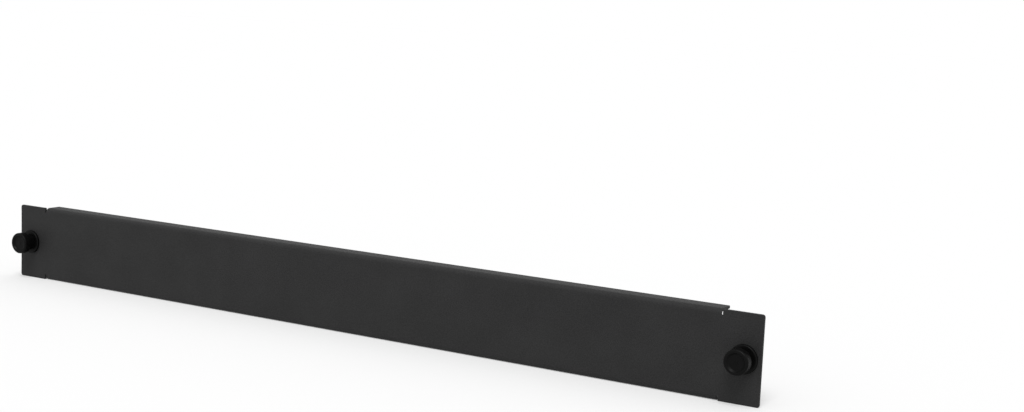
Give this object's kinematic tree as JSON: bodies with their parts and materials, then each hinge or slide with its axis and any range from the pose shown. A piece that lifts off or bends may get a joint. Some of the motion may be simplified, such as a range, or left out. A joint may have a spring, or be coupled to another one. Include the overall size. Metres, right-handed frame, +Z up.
{
  "type": "rack blanking panel",
  "caption": "Flat black folded-steel panel that closes an unused space in an equipment rack, with a push-to-lock fastener at each end.",
  "frame": {"origin": "middle of the panel's back surface, in the plane that lies on the rack's rails", "axes": "+X along the panel to the right as seen from the front, +Y from the front to the back, +Z up"},
  "size_m": [0.4826, 0.0241, 0.0436],
  "materials": {
    "powder_coated_steel": "fine-textured matt powder coat",
    "black_nylon": "smooth moulded nylon"
  },
  "bodies": {
    "panel": {"panel": "powder_coated_steel", "left_grommet": "black_nylon", "right_grommet": "black_nylon"},
    "left_plunger": {"left_plunger": "black_nylon"},
    "right_plunger": {"right_plunger": "black_nylon"}
  },
  "joints": [
    {"name": "left_plunger_slide", "type": "slide", "parent": "panel", "child": "left_plunger", "axis": [0, -1, 0], "range_m": [0, 0.005]},
    {"name": "right_plunger_slide", "type": "slide", "parent": "panel", "child": "right_plunger", "axis": [0, -1, 0], "range_m": [0, 0.005]}
  ]
}
